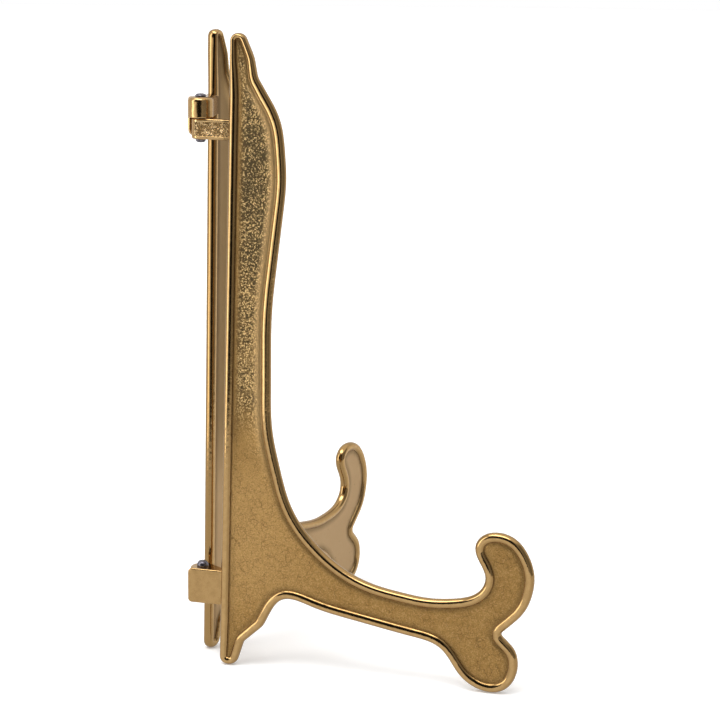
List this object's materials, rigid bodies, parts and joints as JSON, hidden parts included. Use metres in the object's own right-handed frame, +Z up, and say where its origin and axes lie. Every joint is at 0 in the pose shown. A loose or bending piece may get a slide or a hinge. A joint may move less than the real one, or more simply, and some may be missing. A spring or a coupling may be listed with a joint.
{
  "type": "folding album stand",
  "caption": "Folding tabletop easel for an album or a plate: mirror-image flat brass castings with raised rims and hooked feet, hinged along their back edges.",
  "frame": {"origin": "middle of the stand's box at table level, with the stand open against its stops", "axes": "+Z up along the hinge axis, -Y towards the front, where the hooks point, +X to the right leg's side"},
  "size_m": [0.1772, 0.111, 0.248],
  "materials": {
    "brass": "sand-cast webs with a dark patina, rims polished",
    "rivet_steel": "dark hammered steel"
  },
  "bodies": {
    "left_leg": {"left_leg": "brass", "upper_hinge_pin": "rivet_steel", "lower_hinge_pin": "rivet_steel"},
    "right_leg": {"right_leg": "brass"}
  },
  "joints": [
    {"name": "leg_fold", "type": "hinge", "parent": "left_leg", "child": "right_leg", "pos_m": [0, 0.04883, 0.031], "axis": [0, 0, -1], "range_deg": [0, 76.6]}
  ]
}
